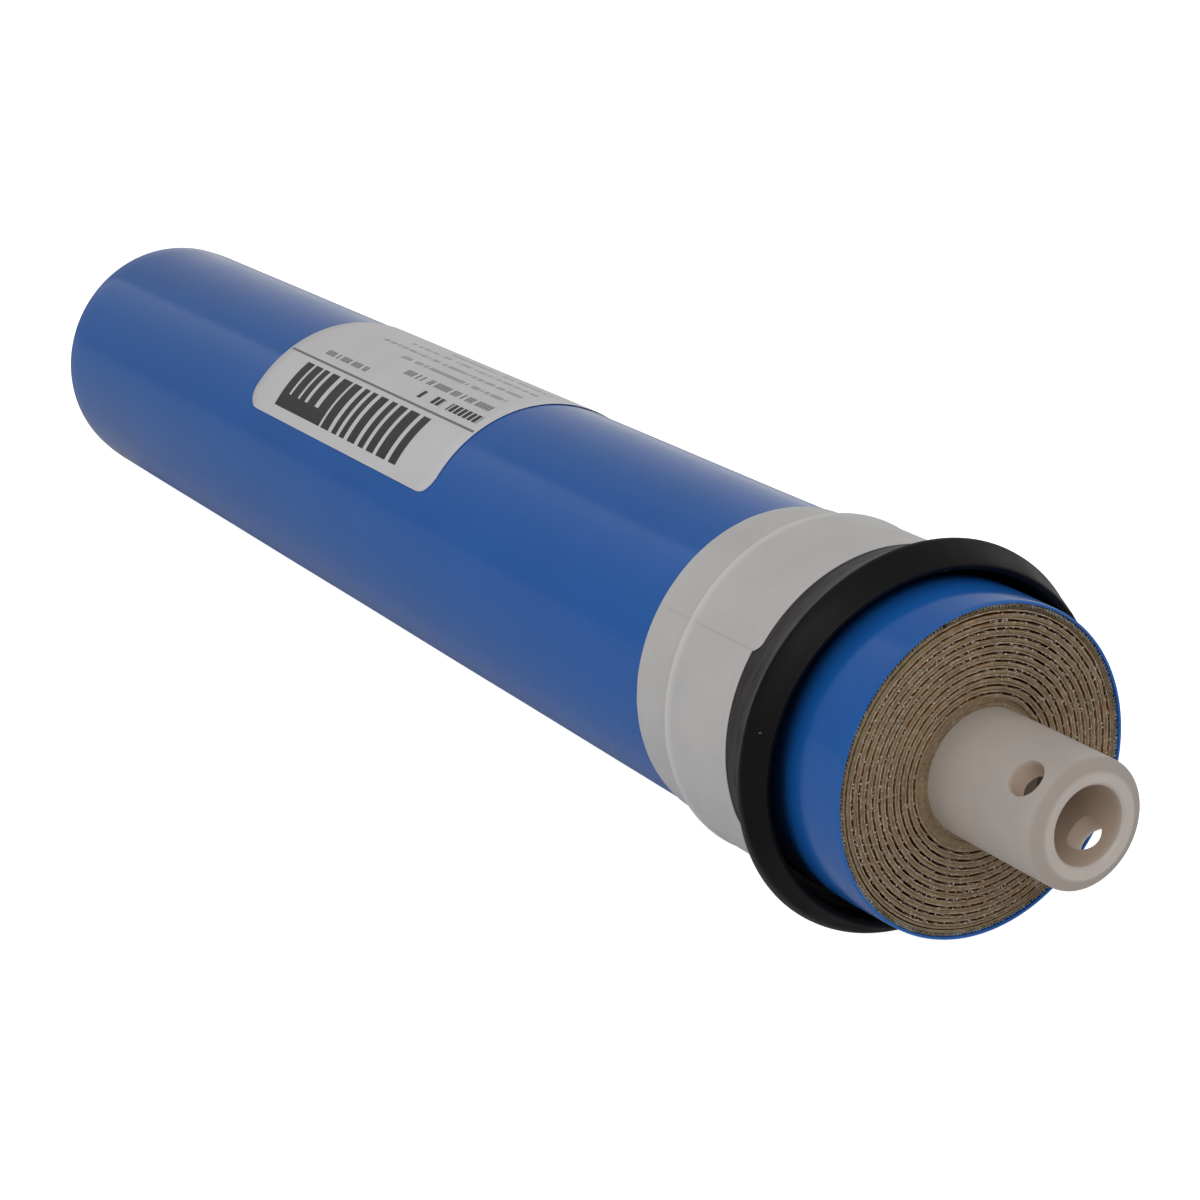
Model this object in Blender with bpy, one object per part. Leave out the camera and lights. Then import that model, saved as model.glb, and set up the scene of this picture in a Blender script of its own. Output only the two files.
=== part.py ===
# Spiral-wound reverse osmosis membrane element, small domestic size.
# Metres. The axis lies along X with the feed end at +X, Z is up, and the origin
# is on the axis at the middle of the overall length.
# Angles are measured about X, from +Z towards -Y.

import math

import bmesh
import bpy
from mathutils import Matrix, Vector

# Overall sizes
OVERALL_LENGTH = 0.298
WRAP_LENGTH = 0.256
FEED_STUB = 0.020                # tube standing out of the roll at the feed end
WRAP_RADIUS = 0.02225
TUBE_RADIUS = 0.0084
BORE_RADIUS = 0.0051

FEED_TIP = OVERALL_LENGTH / 2
PERMEATE_TIP = -OVERALL_LENGTH / 2
FEED_FACE = FEED_TIP - FEED_STUB
PERMEATE_FACE = FEED_FACE - WRAP_LENGTH

# Core tube
TIP_CHAMFER = (0.0009, 0.0017)   # along the axis, then across it
SPIGOT_CHAMFER = (0.0016, 0.0010)
BORE_BREAK = 0.0004
CROSS_HOLE_RADIUS = 0.00225
CROSS_HOLE_INSET = 0.005         # from the feed tip
CROSS_HOLE_ANGLE = math.radians(46)
PERFORATION_RADIUS = 0.0016
PERFORATION_COUNT = 8
PERFORATION_PITCH = 0.028
FIRST_PERFORATION = -0.108

# O-rings on the permeate spigot
RING_SECTION_RADIUS = 0.00095
RING_INSETS = {"o_ring_outer": 0.0055, "o_ring_inner": 0.0110}
GROOVE_RADIUS = 0.0070
GROOVE_WIDTH = 0.0026

# Plug behind the cross-drilled tip
PLUG_RADIUS = 0.00503
PLUG_LENGTH = 0.008
PLUG_INSET = 0.015               # from the feed tip to the plug's outer face

# Wound roll, from the tube outwards
CARRIER_THICKNESS = 0.00024
MEMBRANE_THICKNESS = 0.00013
SPACER_THICKNESS = 0.00044
LAYER_GAP = 0.00002
MEMBRANE_LOW = CARRIER_THICKNESS + LAYER_GAP             # rises above the carrier's inner face
SPACER_LOW = MEMBRANE_LOW + MEMBRANE_THICKNESS + LAYER_GAP
MEMBRANE_HIGH = SPACER_LOW + SPACER_THICKNESS + LAYER_GAP
LEAF_PITCH = 0.001025
CARRIER_PITCH = 0.00027
FIRST_RADIUS = 0.00862
LEAF_START = 540                 # degrees of carrier wound before the leaf begins
LEAF_END = 4340
SPACER_END = 4700
FOLD_WIDTH = 3                   # degrees
SPACER_START = LEAF_START + 6
CARRIER_END = LEAF_END - 40
TAIL_GLUE_START = CARRIER_END + 1
SPACER_RAMP = 80                 # degrees over which the last turn comes down
GLUE_WIDTH = 0.012
GLUE_CLEARANCE = 0.0003
SPACER_RECESS = 0.0006           # the spacer's edge sits back from the end faces
SHEET_RECESS = 0.0002

# Tapes, wrap and label
WRAP_INNER_RADIUS = 0.0215
WRAP_END_RADIUS = 0.02195
FEED_TAPER = 0.008
PERMEATE_TAPER = 0.004
CARRIER_TAPE_ANGLES = (10, 50)
CARRIER_TAPE_RADII = (0.00842, 0.00847)
CARRIER_TAPE_INSET = 0.014
CLOSING_TAPE_REACH = 60          # degrees each side of the spacer's last edge
CLOSING_TAPE_THICKNESS = 0.00006
CLOSING_TAPE_INSET = 0.010
LABEL_SPAN = (-0.0472, 0.0188)   # along X
LABEL_ANGLES = (-50, 60)
LABEL_CORNER = 0.0035
LABEL_RADII = (0.02230, 0.02238)

# Brine seal, as distances back from the feed face of the roll
SEAL_INNER_RADIUS = 0.02232
SLEEVE_RADIUS = 0.02345
SLEEVE_BACK = 0.036
FLARE_START = 0.0195
LIP_RIM = 0.0133
LIP_RADIUS = 0.0267
LIP_FRONT = 0.0090
LIP_FRONT_RADIUS = 0.0244
LIP_ROOT = 0.0172
TAPE_FRONT = 0.021
TAPE_BACK = 0.045
TAPE_THICKNESS = 0.00015
SKIN_GAP = 0.00005

TURN_STEPS = 36                  # sides of every turned piece
WIND_STEP = 20                   # degrees between the roll's corners
RING_STEPS = 8
HOLE_STEPS = 12
SHARP_ANGLE = math.radians(30)


def clear_scene():
    for item in list(bpy.data.objects):
        bpy.data.objects.remove(item, do_unlink=True)


def finish(name, color, roughness, metallic=0.0):
    # Colours are linear red, green and blue.
    material = bpy.data.materials.new(name)
    material.use_nodes = True
    shader = material.node_tree.nodes["Principled BSDF"]
    shader.inputs["Base Color"].default_value = (*color, 1.0)
    shader.inputs["Roughness"].default_value = roughness
    shader.inputs["Metallic"].default_value = metallic
    return material


def around(x, radius, angle):
    return (x, -radius * math.sin(angle), radius * math.cos(angle))


def body(name, points, faces, material, parent):
    # One closed solid, with its faces turned outwards and its round sides smooth.
    mesh = bpy.data.meshes.new(name)
    mesh.from_pydata(points, [], faces)
    shape = bmesh.new()
    shape.from_mesh(mesh)
    bmesh.ops.recalc_face_normals(shape, faces=shape.faces)
    shape.to_mesh(mesh)
    shape.free()
    mesh.shade_smooth()
    mesh.set_sharp_from_angle(angle=SHARP_ANGLE)
    mesh.materials.append(material)
    item = bpy.data.objects.new(name, mesh)
    bpy.context.collection.objects.link(item)
    item.parent = parent
    return item


def turned(name, outline, material, parent):
    # A ring-shaped solid: a closed outline of (x, radius) points turned about X.
    count = len(outline)
    points = []
    for step in range(TURN_STEPS):
        angle = math.tau * step / TURN_STEPS
        points += [around(x, radius, angle) for x, radius in outline]
    faces = []
    for step in range(TURN_STEPS):
        here = step * count
        there = (step + 1) % TURN_STEPS * count
        for corner in range(count):
            after = (corner + 1) % count
            faces.append((here + corner, there + corner, there + after, here + after))
    return body(name, points, faces, material, parent)


def patch(name, degrees, radii, span_at, material, parent):
    # A thin piece of a shell. span_at(degree) gives its two ends along X.
    inner, outer = radii
    points = []
    for degree in degrees:
        low, high = span_at(degree)
        angle = math.radians(degree)
        points += [around(low, inner, angle), around(high, inner, angle),
                   around(high, outer, angle), around(low, outer, angle)]
    faces = [(0, 1, 2, 3), tuple(len(points) - 4 + corner for corner in range(4))]
    for index in range(len(degrees) - 1):
        here, there = index * 4, index * 4 + 4
        for corner in range(4):
            after = (corner + 1) % 4
            faces.append((here + corner, there + corner, there + after, here + after))
    return body(name, points, faces, material, parent)


def wound(name, degrees, levels, stations, filled, material, parent):
    # A sheet wound with the roll, made of cells between neighbouring degrees,
    # levels (radius as a function of degree) and stations along X.
    # filled(degree, level, station) says whether the cell that starts there is solid.
    sizes = (len(degrees) - 1, len(levels) - 1, len(stations) - 1)

    def solid(cell):
        inside = all(0 <= index < size for index, size in zip(cell, sizes))
        return inside and filled(degrees[cell[0]], cell[1], cell[2])

    points, numbers, faces = [], {}, []

    def number(turn, level, station):
        # Every sheet has its corners at the same angles, and a cut between two
        # corners lies on the straight side, so neighbouring sheets stay parallel.
        key = (turn, level, station)
        if key not in numbers:
            numbers[key] = len(points)
            before = degrees[turn] // WIND_STEP * WIND_STEP
            share = (degrees[turn] - before) / WIND_STEP
            ends = [Vector(around(stations[station], levels[level](degree), math.radians(degree)))
                    for degree in (before, before + WIND_STEP)]
            points.append(ends[0].lerp(ends[1], share))
        return numbers[key]

    for turn in range(sizes[0]):
        for level in range(sizes[1]):
            for station in range(sizes[2]):
                cell = (turn, level, station)
                if not solid(cell):
                    continue
                for axis in range(3):
                    for side in (0, 1):
                        beside = list(cell)
                        beside[axis] += 2 * side - 1
                        if solid(tuple(beside)):
                            continue
                        corners = []
                        for first, second in ((0, 0), (1, 0), (1, 1), (0, 1)):
                            corner = list(cell)
                            corner[axis] += side
                            corner[(axis + 1) % 3] += first
                            corner[(axis + 2) % 3] += second
                            corners.append(number(*corner))
                        faces.append(corners)
    return body(name, points, faces, material, parent)


def roll_radius(degree):
    # Inner radius of the permeate carrier at this winding angle.
    carrier_turns = min(degree, LEAF_START) / 360
    leaf_turns = max(degree - LEAF_START, 0) / 360
    return FIRST_RADIUS + CARRIER_PITCH * carrier_turns + LEAF_PITCH * leaf_turns


def above_roll(rise):
    return lambda degree: roll_radius(degree) + rise


def spacer_rise(degree):
    # After the leaf's end the spacer comes down on the turn beneath it.
    share = min(max((degree - LEAF_END) / SPACER_RAMP, 0), 1)
    return SPACER_LOW + (LAYER_GAP - SPACER_LOW) * share


def winding_degrees(first, last, *extras):
    regular = [degree for degree in range(0, SPACER_END + 360, WIND_STEP) if first <= degree <= last]
    return sorted(set(regular) | {first, last} | {extra for extra in extras if first <= extra <= last})


def make_core_tube(material, parent):
    chamfer_run, chamfer_drop = TIP_CHAMFER
    lead_run, lead_drop = SPIGOT_CHAMFER
    outline = [
        (FEED_TIP, BORE_RADIUS + BORE_BREAK),
        (FEED_TIP, TUBE_RADIUS - chamfer_drop),
        (FEED_TIP - chamfer_run, TUBE_RADIUS),
    ]
    for inset in sorted(RING_INSETS.values(), reverse=True):
        centre = PERMEATE_TIP + inset
        for x, radius in ((0.5, TUBE_RADIUS), (0.5, GROOVE_RADIUS),
                          (-0.5, GROOVE_RADIUS), (-0.5, TUBE_RADIUS)):
            outline.append((centre + x * GROOVE_WIDTH, radius))
    outline += [
        (PERMEATE_TIP + lead_run, TUBE_RADIUS),
        (PERMEATE_TIP, TUBE_RADIUS - lead_drop),
        (PERMEATE_TIP, BORE_RADIUS + BORE_BREAK),
        (PERMEATE_TIP + BORE_BREAK, BORE_RADIUS),
        (FEED_TIP - BORE_BREAK, BORE_RADIUS),
    ]
    tube = turned("core_tube", outline, material, parent)

    holes = bmesh.new()
    drills = [(FEED_TIP - CROSS_HOLE_INSET, CROSS_HOLE_ANGLE, CROSS_HOLE_RADIUS)]
    for index in range(PERFORATION_COUNT):
        x = FIRST_PERFORATION + index * PERFORATION_PITCH
        drills.append((x, math.radians(90) * (index % 2), PERFORATION_RADIUS))
    for x, angle, radius in drills:
        made = bmesh.ops.create_cone(holes, cap_ends=True, segments=HOLE_STEPS, radius1=radius,
                                     radius2=radius, depth=TUBE_RADIUS * 3)
        turn = Matrix.Translation((x, 0, 0)) @ Matrix.Rotation(angle, 4, "X")
        bmesh.ops.transform(holes, matrix=turn, verts=made["verts"])
    mesh = bpy.data.meshes.new("tube_drills")
    holes.to_mesh(mesh)
    holes.free()
    cutter = bpy.data.objects.new("tube_drills", mesh)
    bpy.context.collection.objects.link(cutter)
    cutter.parent = parent
    cutter.hide_render = True
    cutter.display_type = "WIRE"
    cut = tube.modifiers.new("holes", "BOOLEAN")
    cut.operation = "DIFFERENCE"
    cut.object = cutter
    return tube


def make_tube_plug(material, parent):
    # A blind disc with eased edges, pressed into the bore.
    outer_face = FEED_TIP - PLUG_INSET
    inner_face = outer_face - PLUG_LENGTH
    outline = [(inner_face, PLUG_RADIUS - BORE_BREAK), (inner_face + BORE_BREAK, PLUG_RADIUS),
               (outer_face - BORE_BREAK, PLUG_RADIUS), (outer_face, PLUG_RADIUS - BORE_BREAK)]
    points, faces = [], []
    for x, radius in outline:
        points += [around(x, radius, math.tau * step / TURN_STEPS) for step in range(TURN_STEPS)]
    for row in range(len(outline) - 1):
        for step in range(TURN_STEPS):
            after = (step + 1) % TURN_STEPS
            low, high = row * TURN_STEPS, (row + 1) * TURN_STEPS
            faces.append((low + step, low + after, high + after, high + step))
    faces.append(range(TURN_STEPS))
    faces.append(range(len(points) - TURN_STEPS, len(points)))
    return body("tube_plug", points, faces, material, parent)


def make_o_rings(material, parent):
    for name, inset in RING_INSETS.items():
        centre = PERMEATE_TIP + inset
        middle = GROOVE_RADIUS + RING_SECTION_RADIUS + SKIN_GAP
        outline = []
        for step in range(RING_STEPS):
            angle = math.tau * (step + 0.5) / RING_STEPS
            outline.append((centre + RING_SECTION_RADIUS * math.cos(angle),
                            middle + RING_SECTION_RADIUS * math.sin(angle)))
        turned(name, outline, material, parent)


def make_permeate_carrier(material, parent):
    ends = [PERMEATE_FACE + GLUE_WIDTH + GLUE_CLEARANCE, FEED_FACE - GLUE_WIDTH - GLUE_CLEARANCE]
    wound("permeate_carrier", winding_degrees(0, CARRIER_END),
          [above_roll(0), above_roll(CARRIER_THICKNESS)], ends,
          lambda degree, level, station: True, material, parent)


def make_glue_line(material, parent):
    # Three sides in one bead: both ends of the leaf, and its tail between them.
    stations = [PERMEATE_FACE + SHEET_RECESS, PERMEATE_FACE + GLUE_WIDTH,
                FEED_FACE - GLUE_WIDTH, FEED_FACE - SHEET_RECESS]
    wound("glue_line", winding_degrees(0, LEAF_END, TAIL_GLUE_START),
          [above_roll(0), above_roll(CARRIER_THICKNESS)], stations,
          lambda degree, level, station: station != 1 or degree >= TAIL_GLUE_START,
          material, parent)


def make_membrane_leaf(material, parent):
    # Two leaves of one sheet, joined by the fold next to the tube.
    levels = [above_roll(low + rise) for low in (MEMBRANE_LOW, MEMBRANE_HIGH)
              for rise in (0, MEMBRANE_THICKNESS)]
    ends = [PERMEATE_FACE + SHEET_RECESS, FEED_FACE - SHEET_RECESS]
    wound("membrane_leaf", winding_degrees(LEAF_START, LEAF_END, LEAF_START + FOLD_WIDTH),
          levels, ends, lambda degree, level, station: level != 1 or degree == LEAF_START,
          material, parent)


def make_feed_spacer(material, parent):
    levels = [lambda degree: roll_radius(degree) + spacer_rise(degree),
              lambda degree: roll_radius(degree) + spacer_rise(degree) + SPACER_THICKNESS]
    ends = [PERMEATE_FACE + SPACER_RECESS, FEED_FACE - SPACER_RECESS]
    wound("feed_spacer", winding_degrees(SPACER_START, SPACER_END), levels, ends,
          lambda degree, level, station: True, material, parent)


def make_carrier_tape(material, parent):
    first, last = CARRIER_TAPE_ANGLES
    span = (PERMEATE_FACE + CARRIER_TAPE_INSET, FEED_FACE - CARRIER_TAPE_INSET)
    patch("carrier_tape", range(first, last + 1, 10), CARRIER_TAPE_RADII,
          lambda degree: span, material, parent)


def make_closing_tape(material, parent):
    # The strip bridges the step where the spacer's last edge lies on the turn beneath.
    def under(degree):
        if degree > SPACER_END:
            degree -= 360
        return roll_radius(degree) + spacer_rise(degree) + SPACER_THICKNESS + LAYER_GAP

    ends = [PERMEATE_FACE + CLOSING_TAPE_INSET, FEED_FACE - CLOSING_TAPE_INSET]
    wound("closing_tape",
          winding_degrees(SPACER_END - CLOSING_TAPE_REACH, SPACER_END + CLOSING_TAPE_REACH),
          [under, lambda degree: under(degree) + CLOSING_TAPE_THICKNESS], ends,
          lambda degree, level, station: True, material, parent)


def make_outer_wrap(material, parent):
    turned("outer_wrap", [
        (FEED_FACE, WRAP_INNER_RADIUS),
        (FEED_FACE, WRAP_END_RADIUS),
        (FEED_FACE - FEED_TAPER / 2, (WRAP_END_RADIUS + 2 * WRAP_RADIUS) / 3),
        (FEED_FACE - FEED_TAPER, WRAP_RADIUS),
        (PERMEATE_FACE + PERMEATE_TAPER, WRAP_RADIUS),
        (PERMEATE_FACE + PERMEATE_TAPER / 4, (WRAP_END_RADIUS + WRAP_RADIUS) / 2),
        (PERMEATE_FACE, WRAP_END_RADIUS),
        (PERMEATE_FACE, WRAP_INNER_RADIUS),
    ], material, parent)


def make_brine_seal(material, parent):
    edge = 0.0003
    outline = [
        (SLEEVE_BACK, SEAL_INNER_RADIUS),
        (SLEEVE_BACK, SLEEVE_RADIUS - edge),
        (SLEEVE_BACK - edge, SLEEVE_RADIUS),
        (FLARE_START, SLEEVE_RADIUS),
        (LIP_RIM + edge, LIP_RADIUS - edge / 3),
        (LIP_RIM, LIP_RADIUS),
        (LIP_RIM - edge, LIP_RADIUS - edge / 2),
        (LIP_FRONT + edge, LIP_FRONT_RADIUS + edge / 2),
        (LIP_FRONT, LIP_FRONT_RADIUS - edge),
        (LIP_FRONT + edge, LIP_FRONT_RADIUS - 2 * edge),
        (LIP_ROOT - 4 * edge, SLEEVE_RADIUS - 2 * edge),
        (LIP_ROOT, SEAL_INNER_RADIUS),
    ]
    turned("brine_seal", [(FEED_FACE - back, radius) for back, radius in outline], material, parent)


def make_seal_tape(material, parent):
    # It lies on the wrap, then steps up over the back edge of the seal's sleeve.
    low, high = WRAP_RADIUS + SKIN_GAP, SLEEVE_RADIUS + SKIN_GAP
    under = [(TAPE_FRONT, high), (SLEEVE_BACK - 0.0002, high), (SLEEVE_BACK + 0.0012, low),
             (TAPE_BACK, low)]
    over = [(TAPE_BACK, low), (SLEEVE_BACK + 0.0014, low), (SLEEVE_BACK, high), (TAPE_FRONT, high)]
    outline = [(FEED_FACE - back, radius) for back, radius in under]
    outline += [(FEED_FACE - back, radius + TAPE_THICKNESS) for back, radius in over]
    turned("seal_tape", outline, material, parent)


def make_label(material, parent):
    first, last = LABEL_ANGLES
    low, high = LABEL_SPAN

    def span_at(degree):
        # Rounded corners: the ends draw in near the first and last angle.
        edge = math.radians(min(degree - first, last - degree)) * WRAP_RADIUS
        short = max(LABEL_CORNER - edge, 0)
        inset = LABEL_CORNER - math.sqrt(LABEL_CORNER ** 2 - short ** 2)
        return low + inset, high - inset

    patch("label", range(first, last + 1, 10), LABEL_RADII, span_at, material, parent)


def main():
    clear_scene()
    root = bpy.data.objects.new("membrane_element", None)
    bpy.context.collection.objects.link(root)

    make_core_tube(finish("tube_plastic", (0.56, 0.52, 0.48), 0.40), root)
    make_tube_plug(finish("plug_plastic", (0.50, 0.48, 0.45), 0.45), root)
    make_o_rings(finish("ring_rubber", (0.02, 0.02, 0.02), 0.45), root)
    make_carrier_tape(finish("clear_tape", (0.62, 0.60, 0.50), 0.35), root)
    make_permeate_carrier(finish("tricot", (0.68, 0.68, 0.64), 0.85), root)
    make_glue_line(finish("cured_glue", (0.42, 0.33, 0.20), 0.55), root)
    make_membrane_leaf(finish("membrane", (0.66, 0.60, 0.50), 0.60), root)
    make_feed_spacer(finish("spacer_mesh", (0.45, 0.44, 0.40), 0.55), root)
    make_closing_tape(finish("closing_tape_film", (0.60, 0.58, 0.50), 0.35), root)
    make_outer_wrap(finish("blue_vinyl", (0.04, 0.12, 0.36), 0.30), root)
    make_brine_seal(finish("seal_rubber", (0.015, 0.014, 0.014), 0.50), root)
    make_seal_tape(finish("white_tape", (0.58, 0.58, 0.57), 0.45), root)
    make_label(finish("label_paper", (0.62, 0.62, 0.63), 0.55), root)


main()
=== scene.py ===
import math
import random

import bmesh
import bpy
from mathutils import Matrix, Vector, noise


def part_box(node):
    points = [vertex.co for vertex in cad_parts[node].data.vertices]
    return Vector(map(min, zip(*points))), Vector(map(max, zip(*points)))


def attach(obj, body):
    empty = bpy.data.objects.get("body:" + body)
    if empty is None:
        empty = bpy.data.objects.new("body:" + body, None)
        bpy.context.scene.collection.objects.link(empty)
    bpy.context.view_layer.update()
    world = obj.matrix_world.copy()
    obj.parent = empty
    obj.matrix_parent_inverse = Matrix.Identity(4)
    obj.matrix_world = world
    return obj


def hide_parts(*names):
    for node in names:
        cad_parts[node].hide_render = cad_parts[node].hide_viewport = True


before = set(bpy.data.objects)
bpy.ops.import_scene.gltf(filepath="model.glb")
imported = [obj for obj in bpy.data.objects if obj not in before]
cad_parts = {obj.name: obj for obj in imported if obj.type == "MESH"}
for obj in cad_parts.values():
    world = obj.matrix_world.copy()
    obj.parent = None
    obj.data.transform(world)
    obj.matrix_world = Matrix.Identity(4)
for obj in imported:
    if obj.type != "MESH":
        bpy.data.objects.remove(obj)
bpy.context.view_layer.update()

# Spiral-wound membrane element. Metres, axis along X, feed end at +X.
# Angles are in degrees round the axis: 0 is the top, 90 is the side at -Y.
mm = 0.001

tubeLow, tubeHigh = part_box("core_tube")
wrapLow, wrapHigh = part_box("outer_wrap")
sealLow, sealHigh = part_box("brine_seal")
plugLow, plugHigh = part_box("tube_plug")
labelLow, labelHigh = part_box("label")

feedFace = wrapHigh.x
permeateFace = wrapLow.x
wrapRadius = wrapHigh.z


# ---- nodes and meshes

def addNode(tree, kind, inputs=None, **settings):
    made = tree.nodes.new(kind)
    for name, value in settings.items():
        setattr(made, name, value)
    for name, value in (inputs or {}).items():
        if isinstance(value, bpy.types.NodeSocket):
            tree.links.new(value, made.inputs[name])
        else:
            made.inputs[name].default_value = value
    return made


def maths(tree, operation, first, second=0.0, third=0.5, clamp=False):
    return addNode(tree, "ShaderNodeMath", {0: first, 1: second, 2: third},
                   operation=operation, use_clamp=clamp).outputs[0]


def mapped(tree, value, fromLow, fromHigh, toLow=0.0, toHigh=1.0, kind="LINEAR"):
    return addNode(tree, "ShaderNodeMapRange",
                   {"Value": value, "From Min": fromLow, "From Max": fromHigh,
                    "To Min": toLow, "To Max": toHigh}, interpolation_type=kind).outputs[0]


def part(tree, place, axis):
    return addNode(tree, "ShaderNodeSeparateXYZ", {0: place}).outputs[axis]


def emptied(owner):
    # a new material or world with no nodes in it yet
    owner.use_nodes = True
    owner.node_tree.nodes.clear()
    return owner, owner.node_tree


def addMesh(name, shape):
    data = bpy.data.meshes.new(name)
    shape.to_mesh(data)
    shape.free()
    made = bpy.data.objects.new(name, data)
    bpy.context.scene.collection.objects.link(made)
    return made


# ---- camera and stage

view = {
    "azimuth": 59.25,
    "elevation": 18.3,
    "aim": (0.02685, 0.00598, -0.00776),
    "distance": 0.43,
    "lens": 83.44,
}

studio = {
    "floorSize": 8.0,
    "floorTone": 0.85,          # how much light the floor sends back to the element
    "floorFelt": 0.13,          # light of its own that the element feels
    "floorMirrored": 0.56,      # share of it that shows in the element's gloss
    "floorClose": 0.05,         # glow that the gloss sees close by
    "floorBehind": 0.45,        # and further off, behind the element
    "floorGlow": 0.80,          # lifts the floor to white for the eye only
    "tentStrength": 1.0,
    "tentSeen": 1.05,
    "keyPower": 6.8,
    "keySize": 1.1,
    "keyPlace": (1.05, -0.75, 0.95),
    "sealRest": 4.3 * mm,       # the seal's rim touches the floor this far behind its front
    "farRest": 4 * mm,          # and the wrap this far in from its far face
}

# brightness of the tent by angle round the element, from the top towards -Y
tentLight = [
    (-180, 0.42), (-100, 0.68), (-60, 0.52), (-30, 0.39), (9, 0.31), (12, 0.64),
    (28, 0.47), (50, 0.34), (80, 0.25), (96, 0.20), (106, 0.25), (180, 0.42),
]


def makeCamera():
    azimuth = math.radians(view["azimuth"])
    elevation = math.radians(view["elevation"])
    back = Vector((math.sin(azimuth) * math.cos(elevation),
                   -math.cos(azimuth) * math.cos(elevation), math.sin(elevation)))
    lens = bpy.data.cameras.new("camera")
    lens.lens = view["lens"]
    lens.sensor_width = 36
    camera = bpy.data.objects.new("camera", lens)
    camera.location = Vector(view["aim"]) + back * view["distance"]
    camera.rotation_mode = "QUATERNION"
    camera.rotation_quaternion = (-back).to_track_quat("-Z", "Y")
    bpy.context.scene.collection.objects.link(camera)
    bpy.context.scene.camera = camera


def makeFloor():
    # the element lies on the seal's rim and on the far end of its wrap
    rim = Vector((sealHigh.x - studio["sealRest"], sealLow.z))
    far = Vector((permeateFace + studio["farRest"], wrapLow.z))
    slope = (far.y - rim.y) / (far.x - rim.x)
    half = studio["floorSize"] / 2
    shape = bmesh.new()
    shape.faces.new([shape.verts.new((x, y, rim.y + slope * (x - rim.x) - 0.15 * mm))
                     for x, y in ((-half, -half), (half, -half), (half, half), (-half, half))])
    floor = addMesh("floor", shape)

    card, tree = emptied(bpy.data.materials.new("floorCard"))
    path = addNode(tree, "ShaderNodeLightPath")
    eye = maths(tree, "MULTIPLY", path.outputs["Is Camera Ray"], studio["floorGlow"])
    gloss = path.outputs["Is Glossy Ray"]
    sideways = part(tree, addNode(tree, "ShaderNodeTexCoord").outputs["Object"], "Y")
    behind = mapped(tree, sideways, 0.05, 0.40, studio["floorClose"], studio["floorBehind"])
    shown = maths(tree, "MULTIPLY", gloss, behind)
    plain = maths(tree, "MULTIPLY", maths(tree, "SUBTRACT", 1.0, gloss), studio["floorFelt"])
    glow = maths(tree, "ADD", eye, maths(tree, "ADD", shown, plain))
    duller = maths(tree, "MULTIPLY", gloss, studio["floorTone"] - studio["floorMirrored"])
    tone = maths(tree, "SUBTRACT", studio["floorTone"], duller)
    matt = addNode(tree, "ShaderNodeBsdfDiffuse", {"Color": tone})
    light = addNode(tree, "ShaderNodeEmission", {"Strength": glow})
    both = addNode(tree, "ShaderNodeAddShader", {0: matt.outputs[0], 1: light.outputs[0]})
    addNode(tree, "ShaderNodeOutputMaterial", {"Surface": both.outputs[0]})
    floor.data.materials.append(card)


def makeTent():
    # a white tent: the eye sees plain white, the element sees its soft panels
    world, tree = emptied(bpy.data.worlds.new("tent"))
    bpy.context.scene.world = world
    around = addNode(tree, "ShaderNodeTexCoord").outputs["Generated"]
    towards = maths(tree, "MULTIPLY", part(tree, around, "Y"), -1.0)
    angle = maths(tree, "ARCTAN2", towards, part(tree, around, "Z"))
    ramp = addNode(tree, "ShaderNodeValToRGB", {"Fac": mapped(tree, angle, -math.pi, math.pi)})
    stops = ramp.color_ramp.elements
    while len(stops) < len(tentLight):
        stops.new(0.5)
    for stop, (degrees, level) in zip(stops, tentLight):
        stop.position = (degrees + 180) / 360
        stop.color = (level, level, level, 1)
    path = addNode(tree, "ShaderNodeLightPath")
    seen = addNode(tree, "ShaderNodeBackground",
                   {"Color": (1, 1, 1, 1), "Strength": studio["tentSeen"]})
    felt = addNode(tree, "ShaderNodeBackground",
                   {"Color": ramp.outputs["Color"], "Strength": studio["tentStrength"]})
    both = addNode(tree, "ShaderNodeMixShader",
                   {0: path.outputs["Is Camera Ray"], 1: felt.outputs[0], 2: seen.outputs[0]})
    addNode(tree, "ShaderNodeOutputWorld", {"Surface": both.outputs[0]})


def makeKeyLight():
    lamp = bpy.data.lights.new("key", "AREA")
    lamp.energy = studio["keyPower"]
    lamp.size = studio["keySize"]
    key = bpy.data.objects.new("key", lamp)
    key.location = studio["keyPlace"]
    key.rotation_mode = "QUATERNION"
    key.rotation_quaternion = (-Vector(studio["keyPlace"])).to_track_quat("-Z", "Y")
    key.visible_camera = False
    bpy.context.scene.collection.objects.link(key)


bpy.context.scene.view_settings.view_transform = "Standard"
makeCamera()
makeFloor()
makeTent()
makeKeyLight()
print("camera, floor and tent are up")


# ---- shapes

def aroundAxis(x, radius, degrees):
    angle = math.radians(degrees)
    return Vector((x, -radius * math.sin(angle), radius * math.cos(angle)))


def ripple(first, second=0.0, third=0.0):
    # smooth noise from -1 to 1, about one swell per unit
    return noise.noise(Vector((first, second, third)))


def smoothStep(value, low, high):
    share = min(max((value - low) / (high - low), 0.0), 1.0)
    return share * share * (3 - 2 * share)


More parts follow.
